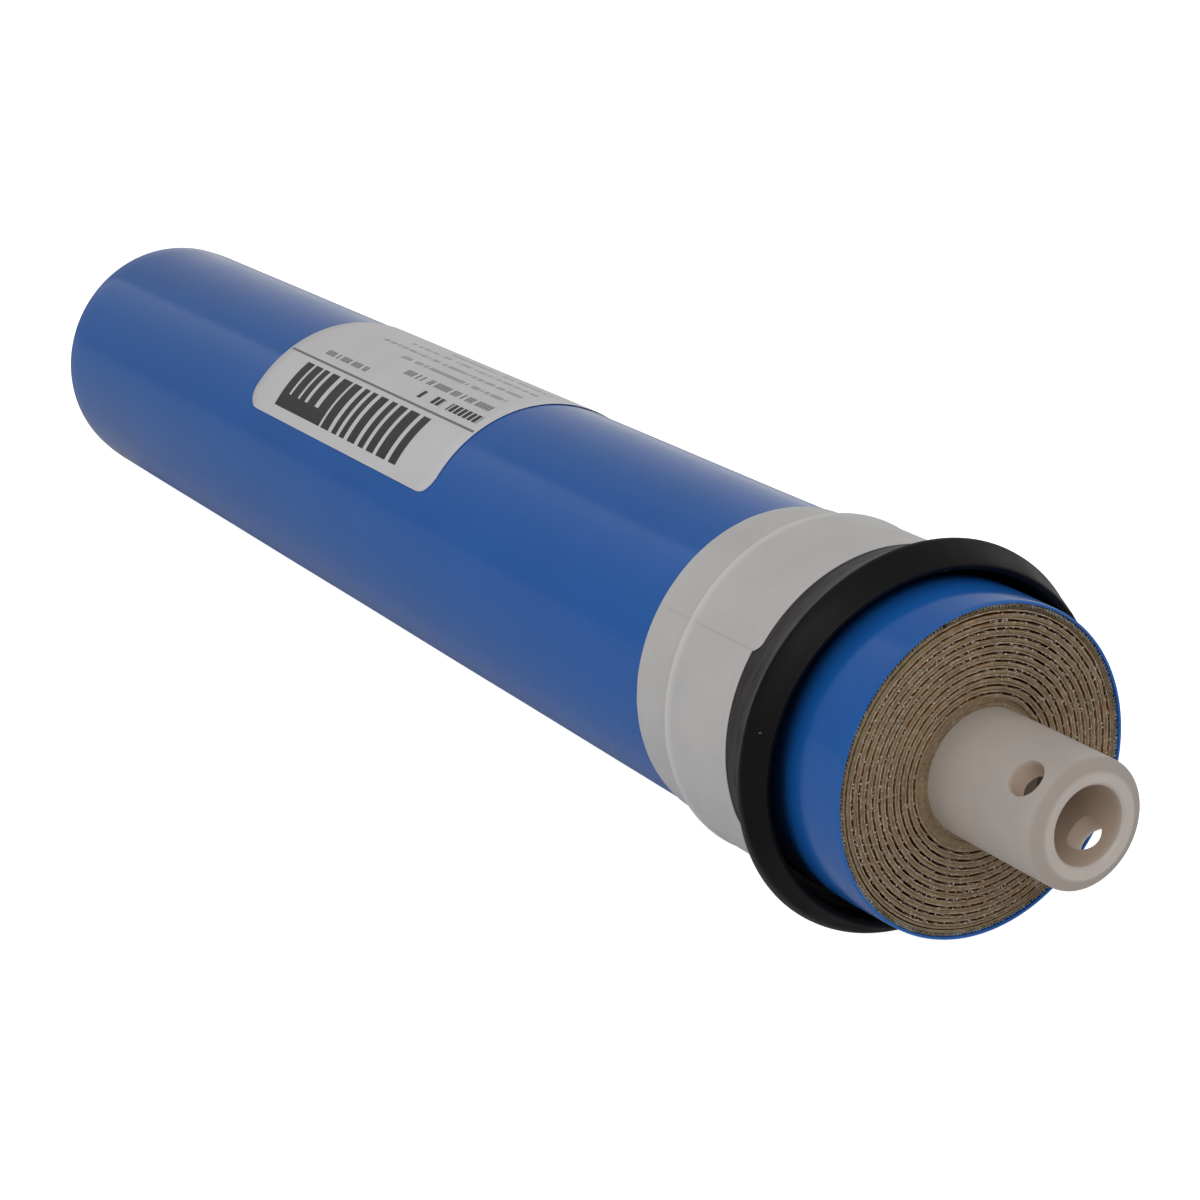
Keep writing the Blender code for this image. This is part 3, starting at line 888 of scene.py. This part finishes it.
def makeBandGroup():
    # 1 inside a rectangle of the label, with softened edges
    group, given = startGroup("printedBand", dict.fromkeys(bandSockets, 0.0), "Ink")
    mask = 1.0
    for axis in ("Round", "Along"):
        for edge, sharpness in (("From", 12.0), ("To", -12.0)):
            gap = maths(group, "SUBTRACT", given[axis], given[f"{axis} {edge}"])
            inside = maths(group, "MULTIPLY_ADD", gap, sharpness, 0.5, clamp=True)
            mask = maths(group, "MULTIPLY", mask, inside)
    return endGroup(group, mask)


def makeDashGroup():
    # runs of short dashes with word gaps, in place of any text
    group, given = startGroup("dashedWords", {"Along": 0.0, "Pitch": 1.0, "Row": 0.0}, "Ink")
    cells = maths(group, "DIVIDE", given["Along"], given["Pitch"])
    seeded = maths(group, "MULTIPLY_ADD", given["Row"], 17.3, maths(group, "FLOOR", cells))
    chance = addNode(group, "ShaderNodeTexWhiteNoise", {"W": seeded}, noise_dimensions="1D")
    kept = maths(group, "GREATER_THAN", chance.outputs["Value"], 0.22)
    long = maths(group, "LESS_THAN", maths(group, "FRACT", cells), 0.74)
    return endGroup(group, maths(group, "MULTIPLY", kept, long))


def barStops():
    # plain bars of unequal widths: where each bar or gap starts, and whether it is inked
    draw = random.Random(11)
    spot, inked = 0.0, True
    edges = []
    while spot < 0.97 and len(edges) < 30:
        edges.append((spot, inked))
        spot += draw.uniform(0.036, 0.074) if inked else draw.uniform(0.016, 0.032)
        inked = not inked
    return edges


def labelFinish():
    finish, tree, shader, place, wrapped = startFinish("printedLabel")
    printedBand, dashedWords = makeBandGroup(), makeDashGroup()
    span = math.radians(label["angles"][1] - label["angles"][0]) * label["low"] / mm
    roundFrom = maths(tree, "MULTIPLY_ADD", part(tree, wrapped, "X"), -1.0, span)
    alongFrom = maths(tree, "MULTIPLY_ADD", part(tree, wrapped, "Y"), -1.0, labelHigh.x / mm)

    def band(box):
        # box is round from, round to, along from, along to
        return useGroup(tree, printedBand, dict(zip(bandSockets, (roundFrom, alongFrom, *box))))

    def words(box, pitch):
        dashes = useGroup(tree, dashedWords, {"Along": alongFrom, "Pitch": pitch, "Row": box[0]})
        return maths(tree, "MULTIPLY", band(box), dashes)

    ink = label["ink"]
    base = tint(tree, place, label["paper"], 0.02, 8.0)
    for box in label["fineLines"]:
        base = blended(tree, words(box, 0.62), base, label["paleInk"])
    for box in label["greyLines"]:
        base = blended(tree, words(box, 0.8), base, tuple(2.4 * channel for channel in ink), 0.85)
    base = blended(tree, band(label["rule"]), base, tuple(3 * channel for channel in ink), 0.85)
    for box in label["boldLines"]:
        base = blended(tree, words(box, 1.5), base, ink)

    bars, edges = label["bars"], barStops()
    ramp = addNode(tree, "ShaderNodeValToRGB", {"Fac": mapped(tree, alongFrom, bars[2], bars[3])})
    ramp.color_ramp.interpolation = "CONSTANT"
    stops = ramp.color_ramp.elements
    while len(stops) < len(edges):
        stops.new(0.5)
    for stop, (position, inked) in zip(stops, edges):
        stop.position = position
        stop.color = (1, 1, 1, 1) if inked else (0, 0, 0, 1)
    printed = maths(tree, "MULTIPLY", band(bars), ramp.outputs["Color"])
    base = blended(tree, maths(tree, "MAXIMUM", printed, band(label["block"])), base, ink)
    endFinish(tree, shader, place, base, (0.38, 0.48, 6.0),
              [(grain(tree, wrapped, 2.5, fineShare=0.3), 0.006), (grain(tree, place, 0.25), 0.002)])
    return finish


def makeLabel():
    first, last = label["angles"]

    def outlineAt(degrees):
        # the ends draw in near the first and last angle, for the rounded corners
        edge = math.radians(min(degrees - first, last - degrees)) * wrapRadius
        short = max(label["corner"] - edge, 0)
        inset = label["corner"] - math.sqrt(max(label["corner"] ** 2 - short ** 2, 0))
        low, high = labelLow.x + inset, labelHigh.x - inset
        ease = 0.03 * mm
        columns = [low, low + ease] + [low + ease + (high - low - 2 * ease) * step / 22
                                       for step in range(1, 22)] + [high - ease, high]
        inside, outside = [], []
        for index, x in enumerate(columns):
            swell = 0.012 * mm * ripple(x / (6 * mm), degrees / 18)
            rim = 0.02 * mm if index in (0, len(columns) - 1) else 0.0
            inside.append((x, label["low"] + swell * 0.3))
            outside.append((x, label["high"] + swell - rim))
        return inside + list(reversed(outside))

    turns = [first, first + 0.4]
    while turns[-1] < first + 8.5:
        turns.append(turns[-1] + 1.0)
    corners = turns + [first + last - degrees for degrees in turns]
    middle = [first + 10 + (last - first - 20) * step / 60 for step in range(61)]
    shape = bmesh.new()
    sweep(shape, sorted(corners + middle), outlineAt)
    addPiece("paperLabel", shape, [labelFinish()], "label", "label_paper", 50)


# ---- wound roll

roll = {
    "firstRadius": 8.62 * mm,
    "carrierPitch": 0.27 * mm,
    "leafPitch": 1.025 * mm,
    "leafStart": 540,            # degrees of carrier wound before the leaf begins
    "leafEnd": 4340,
    "spacerEnd": 4700,
    "glueWidth": 12 * mm,
    "recess": 0.2 * mm,
    "shake": 0.045 * mm,         # how far each turn strays from a true spiral
    "carrier": (0.0, 0.25),      # rises in mm above the carrier's inner face
    "lowSheet": (0.26, 0.45),
    "highSheet": (0.76, 0.955),
    "fine": 0.5 * mm,            # length of one step along a sheet seen on its edge
    "coarse": 1.2 * mm,          # and of one that is hidden inside
    "netThread": 0.085 * mm,     # radius of one thread
    "netPitch": 2.6 * mm,
    "netDepth": 6.5 * mm,
    "coverPitch": 0.50 * mm,
    "coverThick": 0.50 * mm,     # the net wound round the outside, past the leaf
    "coverDepth": 0.8 * mm,
    "flecks": {feedFace: 760, permeateFace: 460},
    "pale": (0.355, 0.265, 0.160),
    "tan": (0.235, 0.165, 0.088),
    "fibre": (0.56, 0.49, 0.39),
    "fleck": (0.50, 0.44, 0.36),
    "stain": (0.26, 0.090, 0.010),
    "net": (0.47, 0.44, 0.375),
    "grime": (0.22, 0.16, 0.095),
    "cloth": (0.66, 0.66, 0.61),
    "rib": (0.50, 0.50, 0.46),
    # colour of the painted shade deep in the channels
    "deep": (0.020, 0.009, 0.003),
}


def rollRadius(degrees):
    # inner radius of the permeate carrier at this winding angle
    carrierTurns = min(degrees, roll["leafStart"]) / 360
    leafTurns = max(degrees - roll["leafStart"], 0) / 360
    settled = smoothStep(degrees, roll["leafStart"], roll["leafStart"] + 500)
    settled *= 1 - smoothStep(degrees, roll["leafEnd"] - 300, roll["leafEnd"])
    stray = roll["shake"] * settled * (ripple(degrees / 55, 1.0) + 0.5 * ripple(degrees / 17, 8.0))
    return (roll["firstRadius"] + roll["carrierPitch"] * carrierTurns
            + roll["leafPitch"] * leafTurns + stray)


def tailFloor(degrees):
    # the outside of the leaf's last turn, where it lies under the tail of the next
    return rollRadius(degrees - 360) + (roll["highSheet"][1] + 0.11) * mm


def windingSteps(first, last, arc):
    # winding angles this far apart along the sheet
    turns = [first]
    while turns[-1] < last:
        turns.append(turns[-1] + math.degrees(arc / rollRadius(turns[-1])))
    turns[-1] = last
    return turns


def sheetOutline(degrees, low, high, back, front, seed, rough, channelInside):
    # a sheet's cut section, with torn edges and a thickness that swells and thins
    base = rollRadius(degrees)
    spots = degrees / 360 * 2 * math.pi * base / mm
    made = []
    for rise, across, shift in ((low, float(channelInside), 0.0),
                                (high, 1.0 - channelInside, 5.0)):
        row = []
        for x, inward in ((back, 1), (back, 0), (front, 0), (front, 1)):
            sign = 1 if x == back else -1
            offset = 0.7 * mm * inward * sign
            tear = 0.0
            if not inward:
                tear = sign * rough * (0.6 + ripple(spots * 0.9, seed + shift, x * 50)
                                       + 0.6 * ripple(spots * 2.3, seed + shift, 3 + x * 50))
            lump = 0.03 * mm * (1 - inward) * ripple(spots * 1.3, seed + shift, 9 + x * 50)
            # no tear reaches further out than the end faces allow
            tear = max(tear, -0.2 * mm) if sign > 0 else min(tear, 0.2 * mm)
            row.append((x + offset + tear, base + rise * mm + lump, across))
        made.append([row[1], row[0], row[3], row[2]])
    middle = base + (low + high) / 2 * mm
    inner, outer = made
    bulge = 0.04 * mm
    return (inner + [(max(inner[3][0], outer[3][0]) + bulge, middle, 0.5)]
            + list(reversed(outer)) + [(min(inner[0][0], outer[0][0]) - bulge, middle, 0.5)])


def windSheet(shape, turns, rises, ends, seed, rough, channelInside=False):
    # a sheet wound between these rises, each a number of mm or a function of the angle
    def outlineAt(degrees):
        low, high = (rise(degrees) if callable(rise) else rise for rise in rises)
        return sheetOutline(degrees, low, high, *ends, seed, rough, channelInside)

    sweep(shape, turns, outlineAt)


def between(inset):
    return (permeateFace + inset, feedFace - inset)


def makeDepthGroup():
    # how far inside the roll a point lies: 0 at either end face, 1 from this deep on
    group, given = startGroup("rollDepth", {"Place": None, "Starts": 0.3, "Full": 1.2}, "Depth")
    along = part(group, given["Place"], "X")
    nearer = maths(group, "MINIMUM", maths(group, "SUBTRACT", feedFace / mm, along),
                   maths(group, "SUBTRACT", along, permeateFace / mm))
    return endGroup(group, mapped(group, nearer, given["Starts"], given["Full"]))


rollDepth = makeDepthGroup()


def paintDeepShade(tree, place, base, starts, full):
    # painted shade: the channels between the layers are painted darker further in, where the light does
    # not reach
    depth = useGroup(tree, rollDepth, {"Place": place, "Starts": starts, "Full": full})
    return blended(tree, depth, base, roll["deep"], 0.96)


def edgeFinish(name, color, pale, channelSide, roughness):
    # a sheet seen on its cut edge: pale fibres, with resin soaked in from the channel
    finish, tree, shader, place, wrapped = startFinish(name)
    base = tint(tree, place, color, 0.12, 5.0)
    shown = maths(tree, "MAXIMUM", drift(tree, place, 0.5, -1.0, 1.2), 0.0, clamp=True)
    base = blended(tree, shown, base, pale, 0.7)
    if channelSide:
        across = addNode(tree, "ShaderNodeAttribute", attribute_name="across").outputs["Fac"]
        wall = mapped(tree, across, 0.5, 0.95)
        soaked = maths(tree, "MULTIPLY", wall, drift(tree, place, 2.4, 0.35, 1.0))
        base = blended(tree, soaked, base, roll["stain"])
    # painted shade further inside the roll
    endFinish(tree, shader, place, paintDeepShade(tree, place, base, 0.30, 0.85),
              (roughness - 0.08, roughness + 0.08, 1.5),
              [(grain(tree, place, 0.4), 0.03), (grain(tree, place, 0.15), 0.012)])
    return finish


def addFleck(shape, centre, size, draw):
    # a crumb of torn coating
    ball = bmesh.ops.create_icosphere(shape, subdivisions=1, radius=1.0)
    spin = draw.uniform(0, 9)
    for vert in ball["verts"]:
        lumpy = 1 + 0.45 * ripple(*(vert.co * 1.3 + Vector((spin, 0, 0))))
        vert.co = centre + Vector((vert.co.x * size[0], vert.co.y * size[1],
                                   vert.co.z * size[2])) * lumpy
    for face in {face for vert in ball["verts"] for face in vert.link_faces}:
        face.material_index = 1


def makeMembrane():
    # two leaves of one folded sheet, either side of the feed channel
    shape = bmesh.new()
    start, end = roll["leafStart"], roll["leafEnd"]
    ends = between(roll["recess"])
    channel = (roll["lowSheet"][1], roll["highSheet"][0])
    turns = windingSteps(start, end, roll["fine"])
    windSheet(shape, turns, roll["lowSheet"], ends, 1, 0.10 * mm)
    windSheet(shape, turns, roll["highSheet"], ends, 21, 0.10 * mm, True)
    # the fold next to the tube joins them
    windSheet(shape, [start, start + 1, start + 2], channel, ends, 5, 0.05 * mm)
    draw = random.Random(3)
    for face, count in roll["flecks"].items():
        outward = 1 if face == feedFace else -1
        for index in range(count):
            reach = math.sqrt(draw.uniform(0.06, 1.0))
            degrees = start + 60 + (end - start - 80) * reach
            rise = draw.choice(channel) + draw.uniform(-0.06, 0.06)
            centre = aroundAxis(face - outward * draw.uniform(0.08, 0.24) * mm,
                                rollRadius(degrees) + rise * mm, degrees)
            around = draw.uniform(0.06, 0.16) * mm
            addFleck(shape, centre, (draw.uniform(0.05, 0.1) * mm, around, around), draw)
    materials = [edgeFinish("membraneEdge", roll["pale"], roll["fibre"], True, 0.6),
                 plainFinish("tornCoating", roll["fleck"], 0.20, 0.6, (0.5, 0.7, 0.5), 0.15, 0.02)]
    addPiece("membraneLeaf", shape, materials, "membrane_leaf", "membrane", 50)


def makeGlue():
    # the cured bead: both ends of the leaf, soaked into the carrier, and the tail
    shape = bmesh.new()
    start, end, fine = roll["leafStart"], roll["leafEnd"], roll["fine"]
    outer, inner = between(roll["recess"]), between(roll["glueWidth"])
    bands = list(zip((outer[0], inner[1]), (inner[0], outer[1])))
    for ends in bands:
        windSheet(shape, windingSteps(0, end, fine), roll["carrier"], ends, 41, 0.13 * mm)
    windSheet(shape, windingSteps(end - 39, end, 1 * mm), roll["carrier"],
              between(roll["glueWidth"] + 0.05 * mm), 43, 0.02 * mm)

    def downToTube(degrees):
        return (tube["radius"] + 0.02 * mm - rollRadius(degrees)) / mm

    def packed(share):
        # this far up the room between one turn of the carrier and the next
        return lambda degrees: 0.25 + (
            (rollRadius(degrees + 360) - rollRadius(degrees)) / mm - 0.25) * share

    def taper(share):
        # this far up the room left under the cover, past the leaf's end
        top = wrap["inner"] - 0.08 * mm - roll["coverThick"]
        return lambda degrees: (tailFloor(degrees) + (top - tailFloor(degrees)) * share
                                - rollRadius(degrees)) / mm

    for face, inward in ((outer[0], 1), (outer[1], -1)):
        ends = sorted((face, face + inward * roll["glueWidth"]))
        # the first turns are soaked solid: down to the tube, and up to where the leaf begins
        windSheet(shape, windingSteps(0, 359.8, fine), (downToTube, 0.0), ends, 47, 0.03 * mm)
        for layer in range(3):
            windSheet(shape, windingSteps(start - 359.5, start - 0.3, fine),
                      (packed(layer / 3), packed((layer + 0.96) / 3)), ends, 49 + layer, 0.05 * mm)
        # past the leaf's end the roll thins out in two strips, a channel between them
        for low, high in ((0.0, 0.42), (0.66, 1.0)):
            windSheet(shape, windingSteps(end + 0.1, end + 358, fine), (taper(low), taper(high)),
                      ends, 55, 0.10 * mm)
    finish = edgeFinish("curedGlue", roll["tan"], roll["pale"], False, 0.5)
    addPiece("glueLine", shape, [finish], "glue_line", "cured_glue", 50)


def clothFinish():
    finish, tree, shader, place, wrapped = startFinish("tricotCloth")
    ribs = addNode(tree, "ShaderNodeTexWave", {"Vector": wrapped, "Scale": 0.55, "Distortion": 1.2},
                   bands_direction="X").outputs["Fac"]
    base = blended(tree, ribs, tint(tree, place, roll["cloth"], 0.06, 8.0), roll["rib"], 0.3)
    endFinish(tree, shader, place, base, (0.78, 0.9, 3.0),
              [(ribs, 0.05), (grain(tree, place, 0.2), 0.02)])
    return finish


def makeCarrier():
    shape = bmesh.new()
    windSheet(shape, windingSteps(0, roll["leafEnd"] - 40, roll["coarse"]), roll["carrier"],
              between(roll["glueWidth"] + 0.3 * mm), 61, 0.02 * mm)
    addPiece("permeateCarrier", shape, [clothFinish()], "permeate_carrier", "tricot", 50)


def netFinish():
    finish, tree, shader, place, wrapped = startFinish("spacerNet")
    base = tint(tree, place, roll["net"], 0.14, 1.2)
    soiled = maths(tree, "MAXIMUM", drift(tree, place, 1.8, -0.25, 1.1), 0.0, clamp=True)
    # painted shade further inside the roll, over the net's own grime
    base = paintDeepShade(tree, place, blended(tree, soiled, base, roll["grime"]), 0.25, 1.1)
    endFinish(tree, shader, place, base, (0.35, 0.5, 1.0), [(grain(tree, place, 0.2), 0.01)])
    return finish


def addThread(shape, degrees, radiusAt, face, slant, length, thick, poke):
    # one round thread of the net, from its cut end at the face to its end inside
    outward = 1 if face == feedFace else -1
    steps = max(2, math.ceil(length / (1.3 * mm)))
    rings = []
    for step in range(steps + 1):
        depth = length * step / steps
        turn = degrees + slant * math.degrees(depth / radiusAt(degrees))
        centre = aroundAxis(face - outward * (depth - poke), radiusAt(turn), turn)
        side = aroundAxis(outward * slant, 1, turn + 90).normalized()
        rings.append(circle(shape, centre, thick, aroundAxis(0, 1, turn), side, 6))
    skinOver(shape, rings)


def makeSpacer():
    # The net is made thread by thread where it can be seen, at both ends, and runs
    # on between them as a plain sheet.
    shape = bmesh.new()
    draw = random.Random(7)
    thick, depth = roll["netThread"], roll["netDepth"]
    start, end = roll["leafStart"] + 8, roll["leafEnd"] - 4
    gapLow, gapHigh = roll["lowSheet"][1], roll["highSheet"][0]
    turns = windingSteps(start, end, roll["netPitch"])
    for face in (feedFace, permeateFace):
        for slant, rise in ((1, gapLow * mm + thick), (-1, gapHigh * mm - thick)):
            for turn in turns:
                first = turn + math.degrees(draw.uniform(-0.35, 0.35) * roll["netPitch"]
                                            / rollRadius(turn))
                reach = math.degrees(depth / rollRadius(first)) * 1.1
                if not start + reach < first < end - reach:
                    continue
                addThread(shape, first, lambda at: rollRadius(at) + rise, face, slant,
                          depth * draw.uniform(0.9, 1.0), thick * draw.uniform(0.8, 1.0),
                          draw.uniform(-0.4, -0.05) * mm)
    windSheet(shape, windingSteps(roll["leafStart"] + 6, roll["leafEnd"], roll["coarse"]),
              (gapLow + 0.03, gapHigh - 0.03), between(depth + 0.4 * mm), 71, 0.02 * mm)

    # a last turn of several close layers covers the leaf
    end = roll["leafEnd"]
    top = wrap["inner"] - 0.05 * mm
    back, front = between(0.62 * mm)
    low, high = top - roll["coverThick"] + 0.02 * mm, top - 0.02 * mm
    sweep(shape, windingSteps(end - 1, end + 358, 1 * mm),
          lambda degrees: [(back, low), (front, low), (front, high), (back, high)])
    for face in (feedFace, permeateFace):
        for layer in range(3):
            share = 0.17 + 0.33 * layer
            turn = end + layer * 0.7
            while turn < end + 357:
                addThread(shape, turn + draw.uniform(-0.2, 0.2),
                          lambda at: top - roll["coverThick"] * (1 - share), face,
                          1 if layer % 2 else -1, roll["coverDepth"],
                          thick * draw.uniform(0.85, 1.1), draw.uniform(-0.36, -0.16) * mm)
                turn += math.degrees(roll["coverPitch"] / (21 * mm))
    addPiece("feedSpacer", shape, [netFinish()], "feed_spacer", "spacer_mesh", 45)


# the strip that holds the carrier's first edge, and the one that holds the roll shut
innerTapes = {
    "carrierTape": {
        "node": "carrier_tape", "slot": "clear_tape", "finish": "clearTape",
        "color": (0.62, 0.60, 0.50), "inset": 14 * mm, "first": 10, "steps": 21,
        "radii": (tube["radius"] + 0.02 * mm, tube["radius"] + 0.02 * mm + 0.05 * mm),
    },
    "closingTape": {
        "node": "closing_tape", "slot": "closing_tape_film", "finish": "closingFilm",
        "color": (0.60, 0.58, 0.50), "inset": 10 * mm, "first": roll["spacerEnd"] - 60, "steps": 61,
        "radii": (wrap["inner"] - 0.045 * mm, wrap["inner"] - 0.008 * mm),
    },
}


def makeInnerTapes():
    for name, strip in innerTapes.items():
        back, front = between(strip["inset"])
        low, high = strip["radii"]
        shape = bmesh.new()
        sweep(shape, [strip["first"] + 2 * step for step in range(strip["steps"])],
              lambda degrees: [(back, low), (front, low), (front, high), (back, high)])
        finish = plainFinish(strip["finish"], strip["color"], 0.06, 6.0, (0.28, 0.42, 5.0), 1.0, 0.01)
        addPiece(name, shape, [finish], strip["node"], strip["slot"])


for make in (makeCoreTube, makePlug, makeRings, makeInnerTapes, makeCarrier, makeGlue, makeMembrane,
             makeSpacer, makeWrap, makeSeal, makeTape, makeLabel):
    make()
print("every piece is made")
